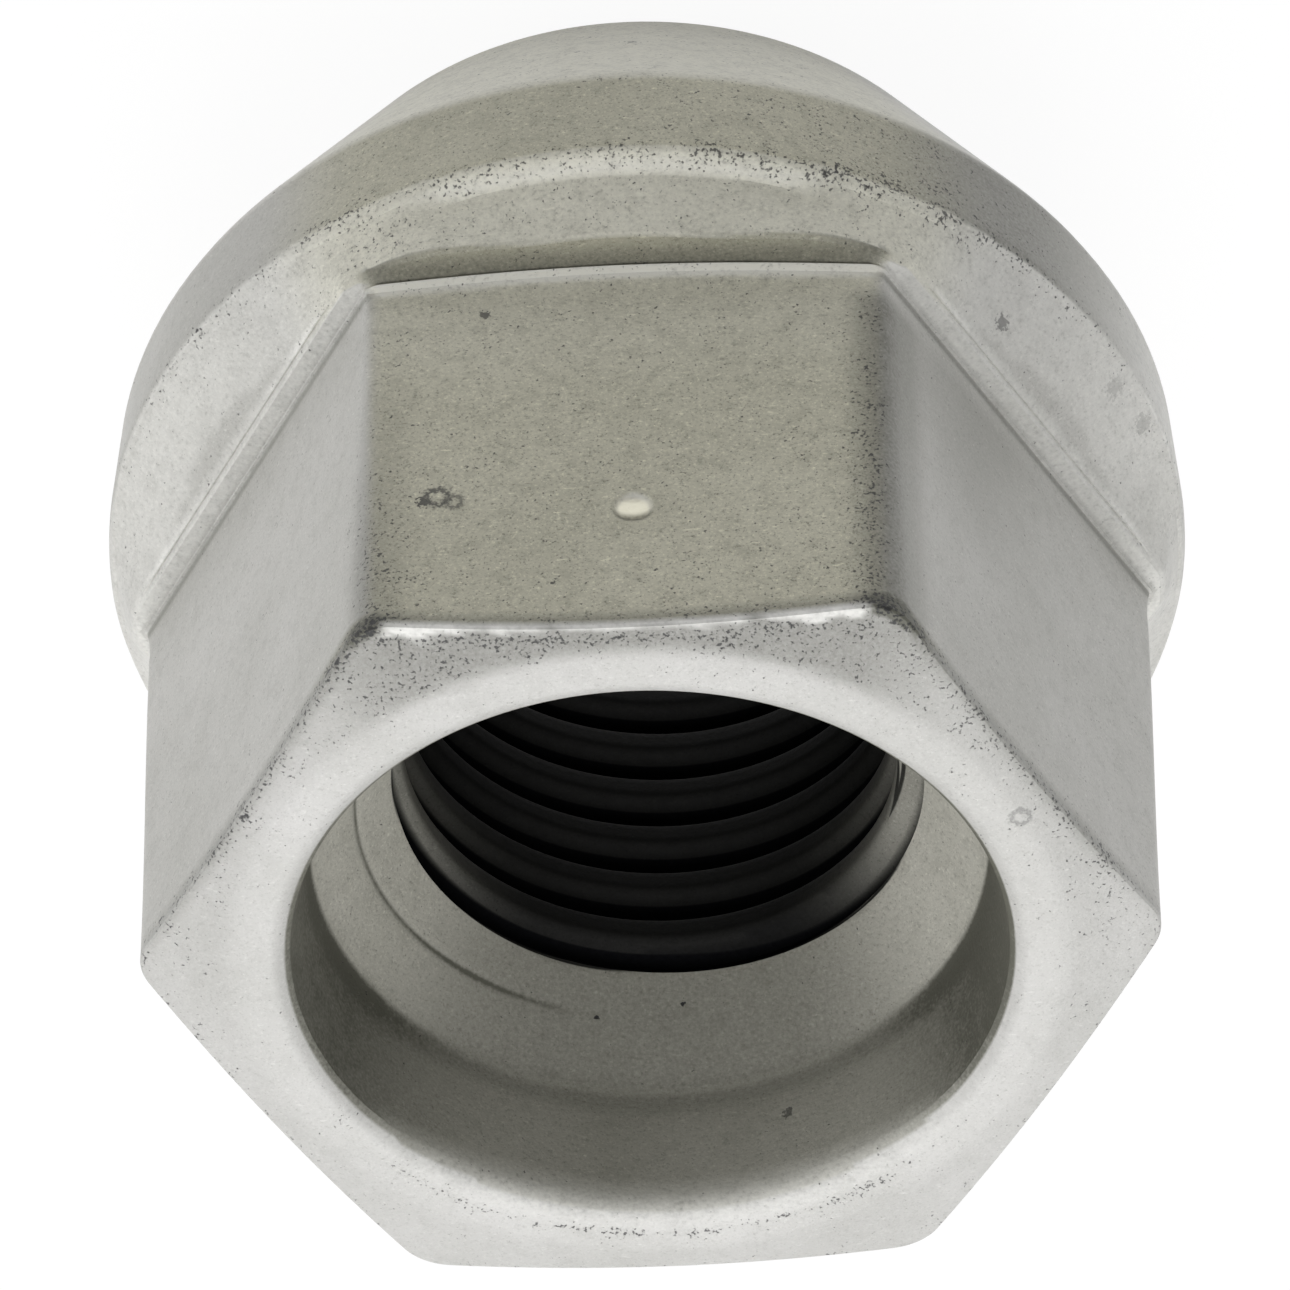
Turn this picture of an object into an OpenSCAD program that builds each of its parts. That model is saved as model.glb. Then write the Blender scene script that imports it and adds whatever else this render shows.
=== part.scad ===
// Open-ended bulge lug nut with a 60 degree conical seat, forged in one piece.
// The nut stands on the small end of its seat, +Z is the thread axis and points to the hexagon end.

/* [Hexagon] */
// Width across the flats
hex_af = 19; // [17:0.5:20]
// Length of the flats, from the forging lip to the end face
hex_len = 10.9; // [8:0.1:16]
// Metal worn off each corner, measured from the sharp corner
corner_wear = 0.16; // [0.05:0.01:0.4]
// Width of the plain ring on the end face, outside the counterbore's mouth
end_ring = 0.65; // [0.3:0.05:0.8]
// Slope of the end face outside that ring
end_slope = 14; // [5:1:30]

/* [Forging lip] */
// How far the lip at the root of each flat stands proud
lip_proud = 0.2; // [0.1:0.05:0.4]
// Length of the concave flare that runs up to the lip
flare_len = 0.9; // [0.5:0.1:1.5]
// Depth of the lip's own wall, under its edge
lip_wall = 0.4; // [0.3:0.05:0.6]

/* [Collar] */
// Radial width of the ledge in the middle of each flat
ledge_w = 0.85; // [0.5:0.05:1.1]
// Fall of the ledge, in degrees
ledge_slope = 13; // [5:1:15]
// Height of the collar between the flange and the lip
collar_h = 1.45; // [1:0.05:2.5]
// How far the collar reaches past the lip's corners
collar_past_corner = 0.05; // [0.03:0.01:0.2]
// How much wider the collar is at its foot than at its top
collar_spread = 0.12; // [0.08:0.01:0.3]

/* [Flange] */
// Width of the flange's front face, from the collar to the rim
front_w = 0.5; // [0.4:0.05:3]
// Fall of that front face
front_fall = 0.3; // [0.1:0.05:0.6]
// Radius on the rim's front edge
rim_round = 0.25; // [0.1:0.05:0.35]
// Height of the flange's rim
rim_h = 2.6; // [1.5:0.1:5]
// How much narrower the rim is at the back, where the seat starts
rim_taper = 0.15; // [0:0.05:0.4]

/* [Seat] */
// Included angle of the conical seat
seat_angle = 60; // [50:1:65]
// Axial length of the seat
seat_len = 6.4; // [4:0.1:7]
// Bevel between the seat and the end that the nut stands on
seat_bevel = 0.2; // [0.1:0.05:0.4]

/* [Thread] */
// Diameter of the tapped hole, over the crests of its thread
thread_minor_d = 10.6; // [9:0.1:11]
// Depth of the countersink that leads the stud in
entry_depth = 1; // [0.5:0.1:1.2]
// Included angle of that countersink
entry_angle = 90; // [60:5:100]

/* [Counterbore] */
// Diameter of the counterbore at its mouth
counterbore_d = 15; // [13:0.1:15.4]
// Depth of its wall below the end face
counterbore_depth = 3.35; // [2:0.05:5]
// Draft of its wall, in degrees
counterbore_draft = 4; // [0:0.5:6]
// Radius on the mouth's edge
mouth_round = 0.6; // [0.3:0.05:0.7]
// Included angle of the cone that leads from the counterbore to the thread
throat_angle = 74; // [60:1:120]

/* [Test dimple] */
// Diameter of the ball dimple on one flat
dimple_d = 0.9; // [0.4:0.1:1.6]
// Depth of the dimple
dimple_depth = 0.16; // [0.05:0.01:0.3]
// Distance of the dimple below the end face
dimple_from_end = 3.9; // [3:0.1:5]

/* [Hidden] */
$fn = 96;
steel = [0.66, 0.66, 0.63];
// Overlap of solids that are joined, and overrun of cutters
over = 1;
// Depth by which the flare runs into the flat, so that they cross
flare_sink = 0.02;

flats = 6;
half_side = 180 / flats;
flat_r = hex_af / 2;
corner_r = flat_r / cos(half_side);
worn_r = corner_r - corner_wear;

// Heights above the end that the nut stands on
rim_top_z = seat_len + rim_h;
crease_z = rim_top_z + front_fall;
lip_z = crease_z + collar_h;
end_z = lip_z + hex_len;

// Radii of the collar, the flange and the seat
lip_r = flat_r + lip_proud;
ledge_r = lip_r + ledge_w;
collar_r = lip_r / cos(half_side) + collar_past_corner;
crease_r = collar_r + collar_spread;
rim_r = crease_r + front_w;
seat_r = rim_r - rim_taper;
foot_r = seat_r - seat_len * tan(seat_angle / 2);

// The bores
minor_r = thread_minor_d / 2;
entry_r = minor_r + entry_depth * tan(entry_angle / 2);
mouth_r = counterbore_d / 2;
floor_r = mouth_r - (counterbore_depth - mouth_round) * tan(counterbore_draft);
floor_z = end_z - counterbore_depth;
throat_z = floor_z - (floor_r - minor_r) / tan(throat_angle / 2);
ring_r = mouth_r + mouth_round + end_ring;

// Ball that leaves a dimple of the given width and depth
ball_r = (pow(dimple_d / 2, 2) + pow(dimple_depth, 2)) / (2 * dimple_depth);

// Height of the ledge at a given distance from the axis
function ledge_height(r) = lip_z - (r - lip_r) * tan(ledge_slope);

// One side of the hexagon, repeated round the axis
module each_flat() {
  for (i = [0 : flats - 1])
    rotate(i * 360 / flats) children();
}

// Prism that runs along a flat, drawn in the plane of distance from the axis and height
module along_flat(length) {
  rotate([90, 0, 90])
    linear_extrude(length, center = true) children();
}

// Hexagon with its lip, brought back to worn corners and a sloping end face
module hexagon_body() {
  intersection() {
    union() {
      hexagon_bar();
      forging_lip();
    }
    hexagon_blank();
  }
}

// Sharp hexagon bar
module hexagon_bar() {
  translate([0, 0, rim_top_z])
    cylinder(h = end_z - rim_top_z, r = corner_r, $fn = flats);
}

// Lip at the root of every flat, with a concave flare that rises to its edge
module forging_lip() {
  rise = lip_proud + flare_sink;
  flare_r = (pow(flare_len, 2) + pow(rise, 2)) / (2 * rise);
  difference() {
    translate([0, 0, lip_z - lip_wall])
      cylinder(h = lip_wall + flare_len, r = lip_r / cos(half_side), $fn = flats);
    each_flat()
      along_flat(2 * rim_r)
        translate([flat_r - flare_sink + flare_r, lip_z + flare_len])
          circle(flare_r, $fn = 180);
  }
}

// Turned blank that gives the hexagon its worn corners and its end face
module hexagon_blank() {
  rotate_extrude()
    polygon([
      [0, rim_top_z],
      [collar_r, rim_top_z],
      [collar_r, lip_z],
      [worn_r, lip_z + flare_len],
      [worn_r, end_z - (worn_r - ring_r) * tan(end_slope)],
      [ring_r, end_z],
      [0, end_z]
    ]);
}

// Seat, flange and collar, turned as one, with a sloping facet beside every flat
module turned_body() {
  difference() {
    rotate_extrude() body_section();
    each_flat() facet_cut();
  }
}

// Half section of the seat, the flange and the collar
module body_section() {
  slant = tan(seat_angle / 2);
  union() {
    polygon([
      [0, 0],
      [foot_r + seat_bevel * (slant - 1), 0],
      [foot_r + seat_bevel * slant, seat_bevel],
      [seat_r, seat_len],
      [rim_r, rim_top_z - rim_round],
      [rim_r - rim_round, rim_top_z],
      [crease_r, crease_z],
      [collar_r, ledge_height(collar_r)],
      [lip_r, lip_z],
      [0, lip_z]
    ]);
    translate([rim_r - rim_round, rim_top_z - rim_round]) circle(rim_round);
  }
}

// What is cut from the collar beside one flat, outside the facet
module facet_cut() {
  foot = crease_r + collar_past_corner;
  slope = (foot - ledge_r) / (ledge_height(ledge_r) - crease_z);
  top_z = lip_z + over;
  along_flat(2 * rim_r)
    polygon([
      [foot, crease_z],
      [foot + over, crease_z],
      [foot + over, top_z],
      [foot - (top_z - crease_z) * slope, top_z]
    ]);
}

// Everything that is bored out along the axis
module bores() {
  rotate_extrude()
    polygon([
      [0, -over],
      [entry_r + over * tan(entry_angle / 2), -over],
      [minor_r, entry_depth],
      [minor_r, throat_z],
      [floor_r, floor_z],
      [mouth_r, end_z - mouth_round],
      [mouth_r, end_z + over],
      [0, end_z + over]
    ]);
  mouth_rounding();
}

// Ring of metal taken off the mouth's edge to leave it round
module mouth_rounding() {
  rotate_extrude()
    difference() {
      translate([mouth_r - over, end_z - mouth_round])
        square([mouth_round + over, mouth_round + over]);
      translate([mouth_r + mouth_round, end_z - mouth_round])
        circle(mouth_round);
    }
}

// Ball that presses the test dimple into the flat facing -Y
module dimple_ball() {
  translate([0, dimple_depth - flat_r - ball_r, end_z - dimple_from_end])
    sphere(ball_r);
}

module lug_nut() {
  color(steel)
    difference() {
      union() {
        turned_body();
        hexagon_body();
      }
      bores();
      dimple_ball();
    }
}

lug_nut();
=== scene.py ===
"""Dressed model of an open-ended lug nut with a conical seat, in the frame of its solid."""

import logging
import math
from collections.abc import Iterable
from dataclasses import dataclass, field
from enum import Enum
from typing import Any, Union

import bmesh
import bpy
import numpy as np
from mathutils import Matrix, Vector


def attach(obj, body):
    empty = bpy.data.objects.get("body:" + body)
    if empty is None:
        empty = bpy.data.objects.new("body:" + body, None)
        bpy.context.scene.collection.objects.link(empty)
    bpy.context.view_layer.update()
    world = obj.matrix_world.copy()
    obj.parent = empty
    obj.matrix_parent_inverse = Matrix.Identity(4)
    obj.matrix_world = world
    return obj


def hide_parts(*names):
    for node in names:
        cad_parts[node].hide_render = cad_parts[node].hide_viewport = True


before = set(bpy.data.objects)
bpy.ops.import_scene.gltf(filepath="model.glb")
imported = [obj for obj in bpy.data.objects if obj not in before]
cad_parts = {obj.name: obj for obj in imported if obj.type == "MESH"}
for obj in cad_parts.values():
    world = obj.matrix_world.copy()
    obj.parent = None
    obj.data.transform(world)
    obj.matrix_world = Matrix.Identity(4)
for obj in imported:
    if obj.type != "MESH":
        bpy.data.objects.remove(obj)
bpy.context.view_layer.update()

LOG = logging.getLogger("lug_nut")
MM = 0.001
PHOTO_PX = 1290
SIDES = 6
SIDE = 2 * math.pi / SIDES
SIDE_DEG = 360 / SIDES

Number = Union[float, np.ndarray]
Spot = tuple[float, float, float]
Colour = tuple[float, float, float, float]
Ring = tuple[Number, Number]


class Layer(Enum):
    """Names of the mesh attributes that the coating reads, and of the methods of Wear that give them."""

    SPECKS = "specks"
    # Stains and soiling, with painted shade
    GRIME_AND_SHADE = "grime_and_shade"
    # Wear, with painted highlights
    WEAR_AND_HIGHLIGHT = "worn"
    GRIT = "grit"
    # Black of the cut thread, with painted shade on its crests
    CREST_BLACK_AND_SHADE = "tapped"


@dataclass(frozen=True)
class Span:
    """A stretch of values between a low and a high end."""

    low: float
    high: float

    def rise(self, value: Number) -> Number:
        """Ramps from 0 at the low end to 1 at the high end, with soft ends."""
        t = np.clip((np.asarray(value) - self.low) / (self.high - self.low), 0.0, 1.0)
        return t * t * (3 - 2 * t)

    def fall(self, value: Number) -> Number:
        """Ramps from 1 at the low end to 0 at the high end, with soft ends."""
        return 1 - self.rise(value)

    def holds(self, value: np.ndarray) -> np.ndarray:
        """Tells which values lie between the ends."""
        return (value > self.low) & (value < self.high)

    def at(self, share: Number) -> Number:
        """Gives the value at a share of the way from the low end to the high end."""
        return self.low + (self.high - self.low) * share


@dataclass(frozen=True)
class Bell:
    """A soft bell that is 1 at its centre and about a third at its width from there."""

    centre: float
    width: float

    def at(self, value: np.ndarray) -> np.ndarray:
        """Gives the bell's height at every value."""
        return np.exp(-(((value - self.centre) / self.width) ** 2))


@dataclass(frozen=True)
class Sizes:
    """Sizes in millimetres that several surfaces share, the same as the solid's."""

    flat_r: float = 9.5
    end_z: float = 21.65
    ring_r: float = 8.75
    lip_z: float = 10.75
    mouth_r: float = 7.5
    mouth_round: float = 0.6
    floor_r: float = 7.308
    floor_z: float = 18.3
    throat_z: float = 15.636
    throat_half_deg: float = 37.0
    bore_r: float = 5.3
    entry_depth: float = 1.0

    @property
    def throat_slope(self) -> float:
        """Growth of the throat's radius with its height."""
        return math.tan(math.radians(self.throat_half_deg))


NUT = Sizes()

# Angle from the middle of a flat at which the flat ends, in degrees
FLAT_END = Span(28.2, 30.6)


def facing(angle_deg: Number) -> Number:
    """Gives 1 on the flats that face -Y and +Y and 0 on the others, at angles in degrees."""
    return FLAT_END.fall(np.abs(angle_deg % 180 - 90))


def between(first: Ring, last: Ring, shares: Iterable[float]) -> list[Ring]:
    """Lists the rings at the given shares of the way from one ring to another."""
    return [(first[0] + (last[0] - first[0]) * t, first[1] + (last[1] - first[1]) * t) for t in shares]


@dataclass
class Columns:
    """Angles of the mesh columns round the axis, closer together at the hexagon's corners."""

    count: int = 264
    crowding: float = 0.74

    def angles(self) -> np.ndarray:
        """Gives the angle of every column in radians."""
        even = np.arange(self.count) * 2 * math.pi / self.count
        return even - self.crowding / SIDES * np.sin(SIDES * even)

    def facing(self) -> np.ndarray:
        """Gives 1 at the columns of the flats that face -Y and +Y and 0 at the others."""
        return facing(np.degrees(self.angles()))

    def off_flat(self) -> np.ndarray:
        """Gives every column's angle from the middle of its own flat."""
        return np.mod(self.angles(), SIDE) - SIDE / 2


class Sock:
    """A node's output socket that takes part in Python expressions."""

    def __init__(self, net: "Net", socket: bpy.types.NodeSocket) -> None:
        """Keeps the socket and the net that it belongs to."""
        self.net = net
        self.socket = socket

    def _math(self, operation: str, *values: Any) -> "Sock":
        """Adds a Math node on numbers or sockets and gives its result."""
        return self.net.node("ShaderNodeMath", {"operation": operation}, dict(enumerate(values)))

    def __add__(self, other: Any) -> "Sock":
        """Adds."""
        return self._math("ADD", self, other)

    __radd__ = __add__

    def __sub__(self, other: Any) -> "Sock":
        """Subtracts."""
        return self._math("SUBTRACT", self, other)

    def __rsub__(self, other: Any) -> "Sock":
        """Subtracts from a number."""
        return self._math("SUBTRACT", other, self)

    def __mul__(self, other: Any) -> "Sock":
        """Multiplies."""
        return self._math("MULTIPLY", self, other)

    def __truediv__(self, other: Any) -> "Sock":
        """Divides."""
        return self._math("DIVIDE", self, other)

    def call(self, operation: str, *others: Any) -> "Sock":
        """Applies a named Math operation to this value and others."""
        return self._math(operation, self, *others)

    def clamp(self, low: float = 0.0, high: float = 1.0) -> "Sock":
        """Limits the value."""
        return self.call("MAXIMUM", low).call("MINIMUM", high)

    def ramp(self, low: float, high: float) -> "Sock":
        """Ramps smoothly from 0 at low to 1 at high, which may be the smaller one."""
        values = {"Value": self, "From Min": low, "From Max": high}
        return self.net.node("ShaderNodeMapRange", {"interpolation_type": "SMOOTHSTEP"}, values)


class Net:
    """A node tree that is written as expressions."""

    # Places of the factor, the two colours and the result on a Mix node for colours
    MIX_INPUTS = (0, 6, 7)
    MIX_OUTPUT = 2

    def __init__(self, tree: bpy.types.NodeTree) -> None:
        """Keeps the tree."""
        self.tree = tree

    def raw(self, kind: str, settings: dict[str, Any], values: dict[Any, Any]) -> bpy.types.Node:
        """Adds a node.

        Args:
            kind: The node's type.
            settings: Properties of the node, set first.
            values: Numbers or links for its inputs, by name or place.

        Returns:
            The node.
        """
        made = self.tree.nodes.new(kind)
        for name, value in settings.items():
            setattr(made, name, value)
        for key, value in values.items():
            self.feed(made.inputs[key], value)
        return made

    def node(
        self, kind: str, settings: dict[str, Any], values: dict[Any, Any], out: Any = 0
    ) -> Sock:
        """Adds a node as raw does, and gives the output with the given name or place."""
        return Sock(self, self.raw(kind, settings, values).outputs[out])

    def feed(self, socket: bpy.types.NodeSocket, value: Any) -> None:
        """Links or sets an input socket.

        Args:
            socket: The input.
            value: A socket to link, or a plain value.
        """
        if isinstance(value, Sock):
            self.tree.links.new(value.socket, socket)
        else:
            socket.default_value = value

    def mix(self, factor: Any, first: Any, second: Any, blend: str = "MIX") -> Sock:
        """Mixes two colours.

        Args:
            factor: Share of the second colour.
            first: Colour at factor 0.
            second: Colour at factor 1.
            blend: How the second colour is laid over the first.

        Returns:
            The mixed colour.
        """
        settings = {"data_type": "RGBA", "blend_type": blend}
        values = dict(zip(self.MIX_INPUTS, (factor, first, second)))
        return self.node("ShaderNodeMix", settings, values, self.MIX_OUTPUT)

    def axes(self, vector: Sock) -> list[Sock]:
        """Gives the three parts of a vector."""
        return [Sock(self, part) for part in self.raw("ShaderNodeSeparateXYZ", {}, {0: vector}).outputs]


@dataclass(frozen=True)
class Mark:
    """A single dark mark on the coating, placed in millimetres."""

    place: Spot
    radius: float
    depth: float = 1.0
    hollow: float = 0.0


@dataclass(frozen=True)
class Noise:
    """A noise with its cells in a metre, its octaves and how it is squeezed along each axis."""

    scale: float
    detail: float
    squeeze: Spot = (1.0, 1.0, 1.0)


@dataclass(frozen=True)
class CoatedSteel:
    """Matte silver-grey coating on forged steel, speckled and with wear at its edges, with painted shade and
    painted highlights in its colour.
    """

    silver: Colour = (0.572, 0.566, 0.55, 1.0)
    shade: Colour = (0.507, 0.503, 0.482, 1.0)
    # Pale colour for light grain, places of wear and painted highlights
    pale: Colour = (0.80, 0.795, 0.765, 1.0)
    dull: Colour = (0.2, 0.2, 0.18, 1.0)
    pit: Colour = (0.022, 0.022, 0.024, 1.0)
    # Dark olive for soiling and for painted shade
    soot_and_shade: Colour = (0.125, 0.124, 0.1, 1.0)
    black: Colour = (0.009, 0.0095, 0.011, 1.0)
    yellowed: Colour = (1.0, 0.978, 0.8, 1.0)
    burnished: Colour = (0.76, 0.735, 0.61, 1.0)
    metallic: float = 0.12
    roughness: float = 0.52
    rough_limits: tuple[float, float] = (0.2, 0.9)
    bump_strength: float = 0.6
    bump_distance: float = 0.03
    seed: float = 3.7
    cloud: Noise = Noise(260.0, 3.0)
    patch: Noise = Noise(2200.0, 4.0)
    grain: Noise = Noise(10500.0, 4.0, (0.85, 1.0, 1.05))
    fine: Noise = Noise(12000.0, 2.0)
    dust: Noise = Noise(21000.0, 2.0)
    fleck: Noise = Noise(9500.0, 1.5, (0.4, 1.0, 1.1))
    group: Noise = Noise(1500.0, 2.0)
    large_pit: Noise = Noise(5600.0, 2.0)
    small_pit: Noise = Noise(12500.0, 1.0)
    black_r: tuple[float, float] = (6.2, 6.25)
    black_low: tuple[float, float] = (0.3, 0.35)
    black_high: tuple[float, float] = (16.7, 16.75)
    marks: tuple[Mark, ...] = (
        Mark((3.92, -9.5, 17.3), 0.44, 0.8, 0.5),
        Mark((4.2, -9.5, 17.42), 0.2, 0.85),
        Mark((3.58, -9.5, 17.45), 0.32, 0.65, 0.5),
        Mark((2.97, -9.5, 11.55), 0.16, 0.75),
        Mark((-8.01, -7.35, 9.99), 0.22, 0.55),
        Mark((-10.39, -4.8, 9.37), 0.32, 0.2),
        Mark((-10.98, -3.6, 9.26), 0.3, 0.25),
        Mark((-3.75, 4.18, 16.05), 0.12),
        Mark((1.46, 6.16, 17.0), 0.07),
        Mark((-0.44, 6.12, 16.73), 0.07),
        Mark((-0.19, -9.57, 2.68), 0.1, 0.8),
        Mark((-2.66, 6.89, 19.44), 0.16, 0.6),
        Mark((-7.9, -3.8, 21.6), 0.34, 0.4, 0.55),
    )

    def material(self) -> bpy.types.Material:
        """Builds the coating.

        Returns:
            The material.
        """
        made = bpy.data.materials.new("coated_steel")
        made.use_nodes = True
        painter = CoatPainter(self, Net(made.node_tree))
        painter.paint(made.node_tree.nodes["Principled BSDF"])
        return made


@dataclass
class CoatPainter:
    """Writes a coating's nodes into its material's net."""

    look: CoatedSteel
    net: Net

    def __post_init__(self) -> None:
        """Adds the nodes that every step of the coating reads."""
        look, net = self.look, self.net
        self.place = net.node("ShaderNodeTexCoord", {}, {}, "Object")
        self.layer = {
            layer: net.node("ShaderNodeAttribute", {"attribute_name": layer.value}, {}, "Fac")
            for layer in Layer
        }
        self.patch = self.noise(look.patch)
        self.grain = self.noise(look.grain)
        self.fine = self.noise(look.fine)

    def paint(self, shader: bpy.types.Node) -> None:
        """Feeds the coating's values to its shader.

        Args:
            shader: The shader's node.
        """
        look, mix = self.look, self.net.mix
        pits, cut, pressed = self.pits(), self.cut(), self.pressed()
        # Soiling and painted shade darken the coating towards a dark olive colour.
        dirt_and_shade = self.layer[Layer.GRIME_AND_SHADE] * (1.0 + (self.patch - 0.5) * 0.6 + (self.fine - 0.5) * 0.9)
        colour = mix(pressed, self.coating(), look.burnished)
        colour = mix((dirt_and_shade * 0.9).clamp(), colour, look.soot_and_shade)
        colour = mix(pits, colour, look.pit)
        colour = mix(cut, colour, look.black)
        rough = look.roughness + (self.grain - 0.5) * 0.3 + cut * 0.2 - pressed * 0.14
        bare = cut.call("MAXIMUM", pressed)
        height = self.fine * 0.35 + self.grain * 0.65 - pits * 0.8
        relief = {"Strength": look.bump_strength, "Distance": look.bump_distance * MM, "Height": height}
        values = {
            "Base Color": colour,
            "Roughness": rough.clamp(*look.rough_limits),
            "Metallic": look.metallic + bare * (1.0 - look.metallic),
            "Normal": self.net.node("ShaderNodeBump", {}, relief),
        }
        for name, value in values.items():
            self.net.feed(shader.inputs[name], value)

    def coating(self) -> Sock:
        """Mixes the coating's own colours, with its grain, its places of wear and its painted highlights.

        Returns:
            The colour.
        """
        look, mix = self.look, self.net.mix
        grit, worn = self.layer[Layer.GRIT], self.layer[Layer.WEAR_AND_HIGHLIGHT]
        dust = self.noise(look.dust)
        flecks = self.noise(look.fleck).ramp(0.64, 0.76) * 0.9
        light = self.grain.ramp(0.54, 0.74) * 0.6 + dust.ramp(0.58, 0.7) * 0.75 + flecks
        dark = (1.0 - self.grain).ramp(0.54, 0.72) * 0.7 + (1.0 - dust).ramp(0.58, 0.7) * 0.8
        # Pale places from wear, with painted highlights.
        rubbed_and_lit = worn * (0.8 + (self.patch - 0.5) + (self.grain - 0.5) * 1.6)
        colour = mix(self.noise(look.cloud).ramp(0.3, 0.7), look.shade, look.silver)
        colour = mix(self.patch.ramp(0.55, 0.3) * grit * 0.3, colour, look.dull)
        colour = mix((light * grit).clamp(), colour, look.pale)
        colour = mix((dark * grit).clamp(), colour, look.dull)
        colour = mix(rubbed_and_lit.clamp(), colour, look.pale)
        return mix(grit.ramp(0.3, 0.9) * (1.0 - worn * 0.6), colour, look.yellowed, "MULTIPLY")

    def noise(self, noise: Noise) -> Sock:
        """Adds a noise texture.

        Args:
            noise: Its size and form.

        Returns:
            The noise, about 0.5 on average.
        """
        squeezed = {0: self.place, 1: noise.squeeze}
        vector = self.net.node("ShaderNodeVectorMath", {"operation": "MULTIPLY"}, squeezed)
        values = {"Vector": vector, "W": self.look.seed, "Scale": noise.scale, "Detail": noise.detail}
        return self.net.node("ShaderNodeTexNoise", {"noise_dimensions": "4D"}, values)

    def distance(self, spot: Spot) -> Sock:
        """Gives the distance in metres from a spot in millimetres."""
        ends = {0: self.place, 1: tuple(value * MM for value in spot)}
        return self.net.node("ShaderNodeVectorMath", {"operation": "DISTANCE"}, ends, "Value")

    def pits(self) -> Sock:
        """Makes the dark pits, dense where the speck layer says so, and the single marks.

        Returns:
            Mask of the pits.
        """
        look, specks = self.look, self.layer[Layer.SPECKS]
        groups = (self.noise(look.group) - 0.5) * 0.3
        large = self.noise(look.large_pit) + groups + specks * 0.24
        small = self.noise(look.small_pit) + groups + specks * 0.3
        pits = (large.ramp(0.8, 0.9) * 0.92).call("MAXIMUM", small.ramp(0.75, 0.9) * 0.82)
        for mark in look.marks:
            pits = pits.call("MAXIMUM", self.mark(mark))
        return pits

    def mark(self, mark: Mark) -> Sock:
        """Makes one mark with a ragged edge.

        Args:
            mark: The mark.

        Returns:
            Mask of the mark.
        """
        far = self.distance(mark.place) / (mark.radius * MM)
        ragged = far + (self.fine - 0.5) * (0.9 if mark.hollow else 2.4)
        whole = 1.0 - ragged.ramp(0.55, 0.85)
        if mark.hollow:
            whole = whole * ragged.ramp(mark.hollow - 0.25, mark.hollow)
        return whole * mark.depth

    def pressed(self) -> Sock:
        """Finds the bare metal that the test ball burnished in the dimple.

        Returns:
            Mask of the metal.
        """
        dimple = Dimple()
        off = self.distance((dimple.x, dimple.depth / 2 - NUT.flat_r, dimple.z))
        return 1.0 - (off / (dimple.width / 2 * MM)).ramp(0.62, 0.95)

    def cut(self) -> Sock:
        """Finds the black of the threaded hole from the depth under its turned wall; its crests are darkest
        on the far side and deep down, as painted shade.

        Returns:
            Mask of the black.
        """
        look, tapped = self.look, self.layer[Layer.CREST_BLACK_AND_SHADE]
        x, y, z = (part / MM for part in self.net.axes(self.place))
        r = (x * x + y * y).call("SQRT")
        turned = ((z - NUT.throat_z) * NUT.throat_slope + NUT.bore_r).call("MAXIMUM", NUT.bore_r)
        deep = r - turned
        groove = deep.ramp(0.01, 0.04) * tapped.call("MAXIMUM", deep.ramp(0.08, 0.42))
        outline = deep.ramp(0.004, 0.014) * (1.0 - deep.ramp(0.028, 0.046)) * 0.9
        inside = (1.0 - r.ramp(*look.black_r)) * z.ramp(*look.black_low) * (1.0 - z.ramp(*look.black_high))
        return (groove.call("MAXIMUM", outline) * inside).clamp()


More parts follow.
